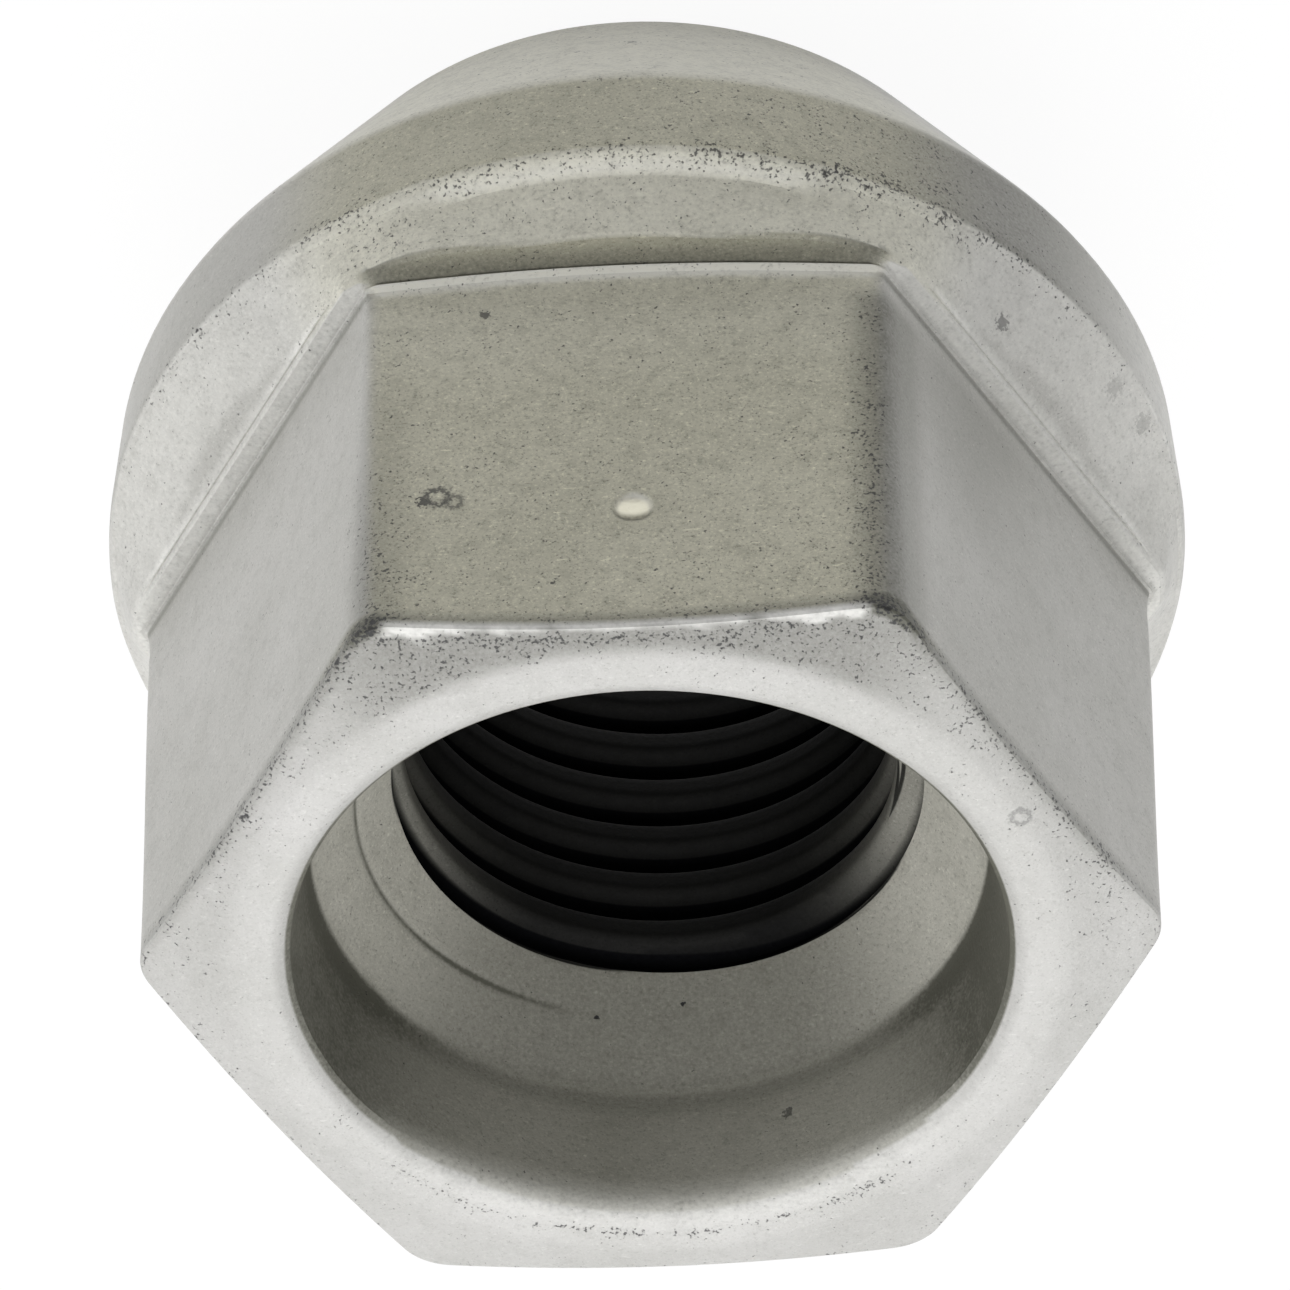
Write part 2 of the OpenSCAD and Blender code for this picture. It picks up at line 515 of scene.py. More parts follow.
@dataclass
class Thread:
    """Right-hand thread in the through hole, made as a helical grid."""

    columns: Columns
    pitch: float = 1.5
    rows_per_pitch: int = 16
    root_r: float = 6.0
    crest_share: float = 3 / 16
    flank_end_share: float = 7 / 16
    flank_deg: float = 30.0
    crest_round: float = 0.16
    root_round: float = 0.1
    throat_round: float = 0.08
    low_z: float = 0.2
    high_z: float = 16.75
    start_z: float = 16.27
    weld: float = 0.001

    def turned_r(self, z: float) -> float:
        """Gives the radius of the hole before its thread was cut, at a height."""
        throat = NUT.bore_r + (z - NUT.throat_z) * NUT.throat_slope
        return max(throat, NUT.bore_r + NUT.entry_depth - z, NUT.bore_r)

    def mesh(self, material: bpy.types.Material) -> bpy.types.Mesh:
        """Evaluates the grid.

        Args:
            material: Finish of the thread.

        Returns:
            The thread's surface, open at both ends.
        """
        holder = bpy.data.objects.new("thread_grid", bpy.data.meshes.new("thread_grid"))
        bpy.context.scene.collection.objects.link(holder)
        modifier = holder.modifiers.new("thread", "NODES")
        sizes = self._inputs()
        tree = self._tree(material, sizes)
        modifier.node_group = tree
        for item in tree.interface.items_tree:
            if item.in_out == "INPUT":
                modifier[item.identifier] = sizes[item.name]
        graph = bpy.context.evaluated_depsgraph_get()
        made = bpy.data.meshes.new_from_object(holder.evaluated_get(graph))
        holder.modifiers.remove(modifier)
        bpy.data.objects.remove(holder)
        return made

    def _inputs(self) -> dict[str, Union[int, float]]:
        """Lists the tree's inputs.

        Returns:
            Name and value of every input, lengths in metres.
        """
        turns = math.ceil((self.high_z - self.low_z) / self.pitch) + 1
        flank = 1 / math.tan(math.radians(self.flank_deg))
        crest_r = self.root_r - self.pitch * (self.flank_end_share - self.crest_share) * flank
        return {
            "Columns": self.columns.count,
            "Rows": turns * self.rows_per_pitch,
            "Turns": float(turns),
            "Crowding": self.columns.crowding / SIDES,
            "Pitch": self.pitch * MM,
            "Phase height": self.start_z * MM,
            "Low end": self.low_z * MM,
            "High end": self.high_z * MM,
            "Crest radius": crest_r * MM,
            "Root radius": self.root_r * MM,
            "Crest half width": self.pitch * self.crest_share * MM,
            "Crest rounding": self.crest_round * MM,
            "Root rounding": self.root_round * MM,
            "Throat rounding": self.throat_round * MM,
            "Flank slope": flank,
            "Bore radius": NUT.bore_r * MM,
            "Entry depth": NUT.entry_depth * MM,
            "Throat height": NUT.throat_z * MM,
            "Throat slope": NUT.throat_slope,
            "Weld distance": self.weld * MM,
        }

    @staticmethod
    def _tree(material: bpy.types.Material, sizes: dict[str, Union[int, float]]) -> bpy.types.NodeTree:
        """Builds the tree that lays the grid along the helix.

        Args:
            material: Finish of the thread.
            sizes: Name and value of every input.

        Returns:
            The tree.
        """
        tree = bpy.data.node_groups.new("thread", "GeometryNodeTree")
        for name, value in sizes.items():
            kind = "NodeSocketInt" if isinstance(value, int) else "NodeSocketFloat"
            tree.interface.new_socket(name=name, in_out="INPUT", socket_type=kind)
        tree.interface.new_socket(name="Mesh", in_out="OUTPUT", socket_type="NodeSocketGeometry")
        net = Net(tree)
        entry = net.raw("NodeGroupInput", {}, {})
        size = {name: Sock(net, entry.outputs[name]) for name in sizes}
        counts = {"Vertices X": size["Columns"] + 1.0, "Vertices Y": size["Rows"] + 1.0}
        grid = net.node("GeometryNodeMeshGrid", {}, counts)
        spot = net.node("GeometryNodeInputPosition", {}, {})
        across, along = (part + 0.5 for part in net.axes(spot)[:2])
        even = across * (2 * math.pi)
        angle = even - (even * float(SIDES)).call("SINE") * size["Crowding"]
        rise = size["Pitch"] * (angle / (2 * math.pi))
        first_turn = ((size["Low end"] - size["Phase height"]) / size["Pitch"]).call("FLOOR") - 1.0
        height = size["Phase height"] + size["Pitch"] * (first_turn + along * size["Turns"]) + rise
        height = height.call("MAXIMUM", size["Low end"]).call("MINIMUM", size["High end"])
        phase = (height - size["Phase height"] - rise) / size["Pitch"]
        off = ((phase + 0.5).call("FRACT") - 0.5).call("ABSOLUTE") * size["Pitch"]
        flank = (off - size["Crest half width"]).call("SMOOTH_MAX", 0.0, size["Crest rounding"])
        groove = size["Crest radius"] + flank * size["Flank slope"]
        groove = groove.call("SMOOTH_MIN", size["Root radius"], size["Root rounding"])
        throat = size["Bore radius"] + (height - size["Throat height"]) * size["Throat slope"]
        lead = size["Bore radius"] + size["Entry depth"] - height
        radius = groove.call("SMOOTH_MAX", throat, size["Throat rounding"]).call("MAXIMUM", lead)
        round_axis = {0: radius * angle.call("COSINE"), 1: radius * angle.call("SINE"), 2: height}
        target = net.node("ShaderNodeCombineXYZ", {}, round_axis)
        moved = net.node("GeometryNodeSetPosition", {}, {"Geometry": grid, "Position": target})
        weld = {"Geometry": moved, "Distance": size["Weld distance"]}
        welded = net.node("GeometryNodeMergeByDistance", {}, weld)
        real = net.node("GeometryNodeRealizeInstances", {}, {"Geometry": welded})
        dressed = net.node("GeometryNodeSetMaterial", {}, {"Geometry": real, "Material": material})
        net.raw("NodeGroupOutput", {}, {"Mesh": dressed})
        return tree


@dataclass
class Hexagon:
    """Wrench flats with corners rounded by wear, a sloping end face and a flared lip at their root."""

    columns: Columns
    face_from_r: float = 8.25
    face_rows: int = 9
    face_insets: tuple[float, ...] = (0.3, 0.2, 0.1, 0.0)
    end_slope_deg: float = 14.0
    end_bend: float = 0.1
    bevel_in: float = 0.045
    bevel_down: float = 0.0425
    bevel_rows: tuple[float, ...] = (0.08, 0.5, 0.92)
    flat_rows: tuple[float, ...] = (0.0, 0.018, 0.05, *np.linspace(0.1, 1.0, 15))
    corner_round: Span = Span(0.25, 1.1)
    corner_change: Span = Span(11.4, 21.0)
    lip_proud: float = 0.2
    side_proud: float = 0.1
    lip_bow: float = 0.18
    lip_sag: float = 0.14
    lip_shelf: float = 0.17
    side_shelf: float = 0.06
    shelf_fall: float = 0.015
    shelf_rows: tuple[float, ...] = (0.15, 0.9)
    flare_len: float = 0.9
    flare_early: float = 0.3
    flare_rows: int = 13
    flare_corner: float = 0.35
    lip_corner: float = 0.08

    def corner(self, z: Number) -> Number:
        """Gives the radius on the corners, which grows towards the end face."""
        return self.corner_round.at(self.corner_change.rise(z))

    def radius(self, apothem: Number, corner: Number) -> np.ndarray:
        """Gives the distance from the axis to a hexagon with round corners, at every column.

        Args:
            apothem: Distance of the flats from the axis.
            corner: Radius on the corners.

        Returns:
            The distances.
        """
        off = np.abs(self.columns.off_flat())
        centre = (apothem - corner) / math.cos(SIDE / 2)
        reach = SIDE / 2 - off
        inside = np.maximum(corner**2 - (centre * np.sin(reach)) ** 2, 0.0)
        rounded = centre * np.cos(reach) + np.sqrt(inside)
        touch = np.arctan2((apothem - corner) * math.tan(SIDE / 2), apothem)
        return np.where(off < touch, apothem / np.cos(off), rounded)

    def end_height(self, r: Number) -> Number:
        """Gives the height of the end face.

        Args:
            r: Distance from the axis.

        Returns:
            The height above the seat's small end.
        """
        past = r - NUT.ring_r
        bent = (past + np.sqrt(past**2 + self.end_bend**2)) / 2
        return NUT.end_z - math.tan(math.radians(self.end_slope_deg)) * bent

    def lip(self) -> Ring:
        """Gives the lip's edge, which is bowed along the flats that face -Y and +Y.

        Returns:
            How far it stands proud of the flat, and its height.
        """
        facing_y = self.columns.facing()
        middle = (1 - (self.columns.off_flat() / (SIDE / 2)) ** 2) * facing_y
        proud = Span(self.side_proud, self.lip_proud).at(facing_y)
        return proud + self.lip_bow * middle, NUT.lip_z - self.lip_sag * middle

    def rings(self) -> list[Ring]:
        """Lists the rings from the end face's plain ring down to the lip.

        Returns:
            Radius and height of every ring.
        """
        outer = self.radius(NUT.flat_r, self.corner(NUT.end_z))
        edge = outer - self.bevel_in
        inner = np.full_like(edge, self.face_from_r)
        radii = [*np.linspace(inner, edge - self.face_insets[0], self.face_rows)]
        radii += [edge - inset for inset in self.face_insets[1:]]
        rings = [(r, self.end_height(r)) for r in radii]
        low = self.end_height(outer) - self.bevel_down
        rings += between(rings[-1], (outer, low), self.bevel_rows)
        flare_top = NUT.lip_z + self.flare_len
        for t in self.flat_rows:
            z = low + (flare_top - low) * t
            rings.append((self.radius(NUT.flat_r, self.corner(z)), z))
        return rings + self._flare(flare_top)

    def _flare(self, flare_top: float) -> list[Ring]:
        """Lists the rings of the flare and of the shelf at the lip's edge.

        Args:
            flare_top: Height at which the flare starts.

        Returns:
            Radius and height of every ring.
        """
        rings = []
        proud, lip_z = self.lip()
        shelf = Span(self.side_shelf, self.lip_shelf).at(self.columns.facing())
        for t in np.linspace(0.1, 1.0, self.flare_rows):
            bent = self.flare_early * t**2 + (1 - self.flare_early) * t**5
            corner = Span(self.flare_corner, self.lip_corner).at(t)
            r = self.radius(NUT.flat_r + (proud - shelf) * bent, corner)
            rings.append((r, flare_top + (lip_z - flare_top) * t))
        for t in self.shelf_rows:
            r = self.radius(NUT.flat_r + proud - shelf * (1 - t), self.lip_corner)
            rings.append((r, lip_z - self.shelf_fall * t))
        return rings


@dataclass
class Flange:
    """Collar with a ledge and a facet beside every flat, the rim, and the conical seat."""

    columns: Columns
    hexagon: Hexagon
    lip_corner: float = 0.1
    lip_under: Ring = (0.012, 0.04)
    nook_in: float = 0.03
    nook_fall: Span = Span(0.05, 0.12)
    nook_rise: float = 0.01
    ledge_w: float = 0.92
    side_ledge_w: float = 0.36
    least_ledge_w: float = 0.06
    ledge_fall: float = 0.27
    corner_fall: float = 0.2
    side_fall: float = 0.13
    ledge_rows: tuple[float, ...] = (0.1, 0.3, 0.5, 0.7, 0.86, 0.95)
    ledge_edge: Ring = (0.015, 0.03)
    groove: Ring = (0.05, 0.05)
    groove_depth: float = 0.09
    groove_end: Ring = (0.09, 0.1)
    groove_end_share: float = 0.3
    ledge_turn: Span = Span(8, 27)
    groove_turn: Span = Span(22, 28)
    slope_turn: Span = Span(15, 29)
    collar_r: float = 11.25
    crease: Ring = (11.26, 9.25)
    side_crease: Ring = (11.06, 9.78)
    corner_crease: Ring = (11.53, 9.82)
    front: Ring = (11.7, 9.08)
    corner_front: Ring = (11.7, 9.34)
    facet_bulge: float = 0.02
    facet_rows: tuple[float, ...] = (0.05, 0.2, 0.38, 0.56, 0.74, 0.88, 0.97)
    front_rows: tuple[float, ...] = (0.06, 0.4, 0.8)
    rim_r: float = 11.87
    rim_z: float = 8.75
    rim_edge: float = 0.05
    rim_edge_rows: int = 7
    rim_rows: tuple[float, ...] = (0.08, 0.3, 0.6, 0.9, 0.97)
    seat_r: float = 11.72
    seat_z: float = 6.4
    foot_r: float = 8.026
    seat_half_deg: float = 30.0
    seat_rows: tuple[float, ...] = tuple(np.linspace(0.03, 1.0, 13))
    bevel: float = 0.2
    foot_rows: int = 4

    def rings(self) -> list[Ring]:
        """Lists the rings from the lip down to the seat's small end and the countersink.

        Returns:
            Radius and height of every ring.
        """
        slant = math.tan(math.radians(self.seat_half_deg))
        rings = self._ledge()
        rings += self._slope(rings[-1])
        rings += between((self.rim_r, self.rim_z), (self.seat_r, self.seat_z), self.rim_rows)
        top = (self.foot_r + self.seat_z * slant, self.seat_z)
        rings += between(top, (self.foot_r + self.bevel * slant, self.bevel), self.seat_rows)
        foot = (self.foot_r + self.bevel * (slant - 1), 0.0)
        entry = (NUT.bore_r + NUT.entry_depth, 0.0)
        return rings + between(foot, entry, np.linspace(0.0, 1.0, self.foot_rows))

    def _cornering(self, turn: Span) -> np.ndarray:
        """Gives 0 along a flat's middle and 1 at its corners, with a turn at degrees off the flat."""
        return turn.rise(np.degrees(np.abs(self.columns.off_flat())))

    def _ledge(self) -> list[Ring]:
        """Lists the rings under the lip and over the ledge.

        Returns:
            Radius and height of every ring.
        """
        hexagon, facing_y = self.hexagon, self.columns.facing()
        proud, lip_z = hexagon.lip()
        lip = hexagon.radius(NUT.flat_r + proud, self.lip_corner)
        corner = self._cornering(self.ledge_turn)
        wide = Span(NUT.flat_r + hexagon.lip_proud + self.ledge_w, self.collar_r).at(corner)
        side_apothem = NUT.flat_r + hexagon.side_proud + self.side_ledge_w
        side = np.minimum(hexagon.radius(side_apothem, self.lip_corner), self.collar_r)
        edge = np.maximum(side + (wide - side) * facing_y, lip + self.least_ledge_w)
        front_fall = Span(self.ledge_fall, self.corner_fall).at(corner)
        edge_z = NUT.lip_z - self.side_fall - (front_fall - self.side_fall) * facing_y
        inner_z = lip_z - self.nook_fall.at(facing_y)
        rings = [(lip + self.lip_under[0], lip_z - self.lip_under[1])]
        rings.append((lip - self.nook_in * facing_y, inner_z + self.nook_rise))
        rings += between((lip, inner_z), (edge, edge_z), self.ledge_rows)
        groove = self.groove_depth * (1 - facing_y) * (1 - self._cornering(self.groove_turn))
        rows = ((self.ledge_edge, 0.0), (self.groove, 1.0), (self.groove_end, self.groove_end_share))
        for (out, down), share in rows:
            rings.append((edge + out, edge_z - down - groove * share))
        return rings

    def _slope(self, edge: Ring) -> list[Ring]:
        """Lists the rings of the facets, the front face and the rim's edge.

        Args:
            edge: Radius and height of the ledge's outer edge.

        Returns:
            Radius and height of every ring.
        """
        corner, facing_y = self._cornering(self.slope_turn), self.columns.facing()
        fold = tuple(
            (side + (front - side) * facing_y) * (1 - corner) + last * corner
            for side, front, last in zip(self.side_crease, self.crease, self.corner_crease)
        )
        front = tuple(a + (b - a) * corner for a, b in zip(self.front, self.corner_front))
        facet = between(edge, fold, self.facet_rows)
        bulges = (self.facet_bulge * math.sin(math.pi * t) for t in self.facet_rows)
        rings = [(r + bulge, z) for (r, z), bulge in zip(facet, bulges)]
        rings += between(fold, front, self.front_rows)
        for t in np.linspace(0.0, 1.0, self.rim_edge_rows):
            keep, pull, last = (1 - t) ** 2, 2 * t * (1 - t), t**2
            z = keep * front[1] + pull * (front[1] - self.rim_edge) + last * self.rim_z
            rings.append((keep * front[0] + (pull + last) * self.rim_r, z))
        return rings


@dataclass
class Counterbore:
    """Drafted counterbore with a round mouth, and the cone that leads to the thread."""

    columns: Columns
    thread: Thread
    mouth_deg: Span = Span(33.0, 85.0)
    mouth_rows: int = 9
    far_side: Span = Span(0.55, 0.95)
    far_softer: float = 0.75
    mark_r: float = 6.31
    mark_depth: float = 0.025
    mark_start: Span = Span(-30, -20)
    mark_end: Span = Span(45, 80)
    mark_rows: tuple[Ring, ...] = ((-0.09, 0.0), (-0.05, 0.6), (0.0, 1.0), (0.05, 0.5), (0.09, 0.0))
    cone_rows: tuple[float, ...] = (0.3, 0.55, 0.78, 0.9)
    wall_rows: tuple[float, ...] = (0.06, 0.14, 0.25, 0.45, 0.65, 0.85, 1.0)
    foot: Ring = (-0.03, 0.02)

    def marked(self, turn_deg: np.ndarray) -> np.ndarray:
        """Gives 1 where the tool's line runs on the cone, at angles from -180 to 180 degrees."""
        return self.mark_start.rise(turn_deg) * self.mark_end.fall(turn_deg)

    def rings(self) -> list[Ring]:
        """Lists the rings from the thread's upper end to the mouth.

        Returns:
            Radius and height of every ring.
        """
        turn = (np.degrees(self.columns.angles()) + 180) % 360 - 180
        high = self.thread.high_z
        rings: list[Ring] = [(self.thread.turned_r(high), high)]
        for offset, share in self.mark_rows:
            r = self.mark_r + offset
            rings.append((r, self._cone_z(r) - self.marked(turn) * share * self.mark_depth))
        past_mark = self.mark_r + self.mark_rows[-1][0]
        for t in self.cone_rows:
            r = Span(past_mark, NUT.floor_r).at(t)
            rings.append((r, self._cone_z(r)))
        rings.append((NUT.floor_r + self.foot[0], NUT.floor_z + self.foot[1]))
        far = self.far_side.rise(np.sin(np.radians(turn)))
        start = np.radians(self.mouth_deg.low * (1 - self.far_softer * far))
        rings += between((NUT.floor_r, NUT.floor_z), self._mouth(start), self.wall_rows)
        for t in np.linspace(0.0, 1.0, self.mouth_rows)[1:]:
            rings.append(self._mouth(start + (math.radians(self.mouth_deg.high) - start) * t))
        return rings

    @staticmethod
    def _cone_z(r: float) -> float:
        """Gives the height of the cone at a radius."""
        return NUT.throat_z + (r - NUT.bore_r) / NUT.throat_slope

    @staticmethod
    def _mouth(turn: np.ndarray) -> Ring:
        """Gives radius and height of the round mouth at angles along its quarter circle."""
        top_z = NUT.end_z - NUT.mouth_round
        return NUT.mouth_r + NUT.mouth_round * (1 - np.cos(turn)), top_z + NUT.mouth_round * np.sin(turn)


@dataclass
class Dimple:
    """Round dimple of a hardness test in the flat that faces -Y."""

    x: float = -0.15
    z: float = 17.86
    width: float = 0.86
    depth: float = 0.12
    rim: float = 0.03
    rim_reach: float = 1.5
    fine_reach: float = 2.0
    face_slack: float = 0.1
    cuts: int = 9

    def press(self, shell: bmesh.types.BMesh) -> None:
        """Divides the flat round the dimple finely and presses it in.

        Args:
            shell: The nut's mesh, in metres.
        """
        half = self.width / 2
        near = set()
        for face in shell.faces:
            spot = face.calc_center_median() / MM
            off = max(abs(spot.x - self.x), abs(spot.z - self.z))
            if spot.y < self.face_slack - NUT.flat_r and off < self.fine_reach * half:
                near.update(face.edges)
        bmesh.ops.subdivide_edges(shell, edges=list(near), cuts=self.cuts, use_grid_fill=True)
        raised = Span(half, self.rim_reach * half)
        for vert in shell.verts:
            spot = vert.co / MM
            off = math.hypot(spot.x - self.x, spot.z - self.z)
            if abs(spot.y + NUT.flat_r) > self.face_slack / 2 or off > raised.high:
                continue
            if off < half:
                vert.co.y += self.depth * (1 - (off / half) ** 2) * MM
            else:
                vert.co.y -= self.rim * float(raised.fall(off)) * MM


@dataclass
class Wear:
    """Where the coating is speckled, grimy, pale from wear or coarse, and where shade and highlights are
    painted into its colour, at points given in millimetres.

    The strengths were set one by one. Angles are in degrees, and right and left are as the camera sees them.
    """

    x: np.ndarray
    y: np.ndarray
    z: np.ndarray
    upright_z: Span = Span(10.62, 20.9)
    upright_r: float = 9.0
    bore_z: Span = Span(0.01, 21.5)
    bore_r: float = 7.8
    wall_z: float = 18.2
    cone_z: Span = Span(15.6, 18.3)
    face_drop: float = 0.3
    grain_drop: float = 0.2
    flat_in: float = 9.2
    flat_top: float = 21.2
    flat_start: Span = Span(10.95, 11.7)
    front_y: float = -8.9
    ledge_in: float = 9.68
    ledge_z: float = 10.43
    ledge_under: float = 0.05
    rim_r: float = 11.6
    rim_top: float = 9.0
    rim_foot: float = 6.5
    grimy_foot: float = 6.3
    seat_r: float = 7.9
    collar_r: float = 10.9
    collar_z: Span = Span(8.9, 10.4)
    flange_r: float = 10.5
    flange_z: Span = Span(8.95, 10.46)
    right_deg: float = 240.0
    left_deg: float = 300.0

    def __post_init__(self) -> None:
        """Works out the coordinates and the zones that the layers share."""
        hexagon, dimple = Hexagon(Columns()), Dimple()
        self.r = np.maximum(np.hypot(self.x, self.y), 1e-6)
        self.angle = np.degrees(np.arctan2(self.y, self.x)) % 360
        self.side = -self.y / self.r
        off = self.angle % SIDE_DEG - SIDE_DEG / 2
        self.across = self.r * np.cos(np.radians(off))
        bowed = facing(self.angle)
        self.front_flat = bowed * (self.y < 0)
        upright = self.upright_z.holds(self.z) & (self.r > self.upright_r)
        self.near = np.where(upright, self.front_flat, Span(0.72, 0.9).rise(self.side))
        self.far = Span(0.4, 0.95).rise(-self.side)
        self.drop = hexagon.end_height(self.r) - self.z
        outside = Span(NUT.ring_r, NUT.ring_r + 0.4).rise(self.r)
        self.outer = (self.drop < self.face_drop) * outside * Span(-0.5, 0.4).rise(self.side)
        self.bore = (self.r < self.bore_r) & self.bore_z.holds(self.z)
        self.under_lip = NUT.lip_z - hexagon.lip_sag * (1 - (off / (SIDE_DEG / 2)) ** 2) * bowed - self.z
        self.flats = self.flat_start.rise(self.z) * (self.across > self.flat_in) * (self.z < self.flat_top)
        self.ledge = (self.across > self.ledge_in) & (self.z > self.ledge_z)
        self.ledge = self.ledge & (self.under_lip > self.ledge_under)
        self.rim = (self.r > self.rim_r) & (self.z < self.rim_top)
        self.beside = (self.y < self.front_y) * Span(4.9, 5.3).fall(np.abs(self.x))
        self.edge = Bell(NUT.flat_r, 0.2).at(self.across) * Span(0.1, 0.5).fall(self.drop) * (1 - self.beside)
        # Painted highlight along the edge of the end face over the flat that faces -Y.
        self.front = self._painted_edge_highlight()
        self.over_dent = self.z - dimple.z
        past = np.hypot(self.x - dimple.x, self.over_dent) - dimple.width / 2
        self.dent = (self.y < 0.5 - NUT.flat_r) * Span(-0.03, 0.04).fall(past)

    def layers(self) -> dict[Layer, np.ndarray]:
        """Gives the value of every layer at every point."""
        return {layer: getattr(self, layer.value)() for layer in Layer}

    def corner(self, angle: float, width: float) -> np.ndarray:
        """Gives 1 along an upright line on the flats, at an angle and with a width in degrees."""
        return self.flats * Bell(angle, width).at(self.angle)

    def _painted_edge_highlight(self) -> np.ndarray:
        """Finds the painted highlight along the polished edge between the end face and the flat that faces
        -Y.

        Returns:
            Strength of the edge, which is wider at its ends and uneven.
        """
        ends = Span(-0.05, 0.11).at(Span(2.8, 4.3).rise(np.abs(self.x)))
        wobble = ends + 0.04 * np.sin(3.1 * self.x + 0.4) + 0.05 * np.sin(7.7 * self.x)
        line = Span(NUT.flat_r - 0.19, NUT.flat_r - 0.07).rise(self.across + wobble)
        return line * Span(0.1, 0.16).fall(self.drop) * self.beside

    def specks(self) -> np.ndarray:
        """Adds up the density of dark pits.

        Returns:
            The density, where 1 is nearly covered.
        """
        rim_edge = (self.r > 11.4) * Bell(self.rim_top, 0.25).at(self.z)
        mouth = (self.z > 21.3) * Bell(8.25, 0.14).at(self.r) * self.far
        collar = (self.r > self.collar_r) * self.collar_z.holds(self.z)
        sides = (self.r > self.rim_r) * (self.z > self.rim_foot)
        front = Bell(NUT.flat_r - 0.26, 0.1).at(self.across) * (self.drop < self.grain_drop) * self.beside
        right = self.corner(self.right_deg + 1.5, 2.4) * Span(0.28, 0.44).at(Span(12, 19).rise(self.z))
        left = self.corner(self.left_deg - 1, 3.0) * Span(13, 19).rise(self.z)
        value = np.where(self.bore, 0.12, 0.2) + self.near * (self.drop > self.face_drop) * 0.14
        value += self.outer * (0.24 + 0.14 * self.near) + self.edge * 0.26
        value += right + left * 0.36 + front * 0.25
        value += collar * Bell(self.left_deg, 7).at(self.angle) * 0.16
        value += sides * Bell(236, 28).at(self.angle) * 0.2
        value += rim_edge * Span(0.1, 0.6).rise(self.side) * 0.3 + mouth * 0.5
        return value - self.front * 0.4 - self.dent * 0.4

    def grime_and_shade(self) -> np.ndarray:
        """Adds up the coating's darkening: stains and soiling, and painted shade in the counterbore, on the
        ledge of the flat that faces -Y, beside the lips of the other flats and in the dimple.

        Returns:
            The darkening, where 1 covers the coating.
        """
        wall = self.bore & (self.z > self.wall_z)
        cone = self.bore & self.cone_z.holds(self.z)
        rim = self.rim & (self.z > self.grimy_foot)
        stained = Bell(226, 16).at(self.angle) * 0.65 + Bell(self.left_deg, 30).at(self.angle) * 0.2
        low = self.corner(222, 13) * Span(12, 19).fall(self.z)
        band = self.flats * Span(3.0, 6.6).fall(np.abs(self.angle - self.right_deg + 1.2))
        left = self.corner(self.left_deg, 2.4) * Span(13, 20).rise(self.z)
        left_band = self.corner(self.left_deg - 2.5, 2.6) * Span(12.5, 15).rise(self.z)
        root = (self.across > 9.48) * (self.under_lip < 0.0) * Bell(-0.1, 0.09).at(self.under_lip)
        # Painted shade in the counterbore: darkest on its near side, at its foot and towards angle 180, and
        # on the cone's far side.
        value = wall * (0.95 - 0.8 * self.far + 0.4 * Bell(NUT.floor_z + 0.2, 0.35).at(self.z))
        value += wall * Bell(180, 35).at(self.angle) * 0.25 + cone * self.far * 0.65
        # Painted shade on the ledge of the flat that faces -Y, deepest next to the lip.
        value += self.ledge * self.front_flat * (0.25 + 0.55 * Span(9.9, 10.6).fall(self.across))
        value += rim * stained
        value += self.outer * (0.08 + 0.52 * self.near) * (1 - self.front)
        value += low * 0.34 + self.corner(self.right_deg, 2.6) * 0.4 + left * 0.4
        value += band * 0.36 + left_band * 0.18
        value += self.edge * Span(-0.2, 0.4).rise(self.side) * 0.4
        # Painted shadow line on the flats just beside the lip's edge, except on the flat that faces -Y.
        value += root * (self.r < 11.2) * (1 - self.front_flat) * 0.6
        # Painted shade in the dimple's half towards +Z; the scored tool line is a real dark mark.
        return value + self.dent * Span(-0.02, 0.28).rise(self.over_dent) * 0.9 + self.scored()

    def worn(self) -> np.ndarray:
        """Adds up where the coating is pale: wear, mixed with painted highlights on the lips, the flange, the
        arch, the mouth, the rim, the flats' roots, the side ledges, the edge of the end face and the dimple.

        Returns:
            The share of the pale colour, where 1 is bare.
        """
        lip = (self.across > NUT.flat_r) * (self.under_lip < 0.06)
        lip = lip * Span(-0.3, -0.02).rise(self.under_lip) ** 2
        flange = (self.r > self.flange_r) & self.flange_z.holds(self.z)
        arch = Bell(11.5, 0.22).at(self.r) * Bell(9.17, 0.12).at(self.z)
        mouth = (self.z > 20.95) * Bell(NUT.mouth_r + 0.18, 0.3).at(self.r) * self.far
        seat = (self.z < self.rim_foot) * (self.r > self.seat_r)
        root = (self.z > 10.8) * (self.across > self.flat_in) * Span(11.2, 15).fall(self.z)
        rim = self.rim & (self.z > self.rim_foot)
        # Painted highlight over the dimple's half towards -Z.
        painted_dent_highlight = self.dent * Bell(-0.2, 0.34).at(self.x) * Span(0.04, 0.24).fall(self.over_dent)
        thick = 0.78 + 0.3 * Span(2.8, 4.2).rise(np.abs(self.x)) + 0.16 * np.sin(5.3 * self.x + 1.0)
        # Wear along every lip, with a painted highlight on the lip of the flat that faces -Y; the flange is
        # paler still on the near side as painted light.
        value = lip * (0.15 + 1.2 * self.front_flat) + flange * (0.4 + 0.25 * self.near)
        # Painted highlights on the arch on the near side, on the mouth's far side and at the foot of the flat
        # that faces -Y; wear on the seat.
        value += arch * self.near * 0.5 + mouth + seat * 0.75 + root * self.near * 0.3
        # Painted light on the ledges of the other flats, against the shade beside their lips.
        value += self.ledge * (1 - self.front_flat) * 0.6
        # Painted highlight on the rim around angle 188.
        value += rim * Bell(188, 22).at(self.angle) * 0.8
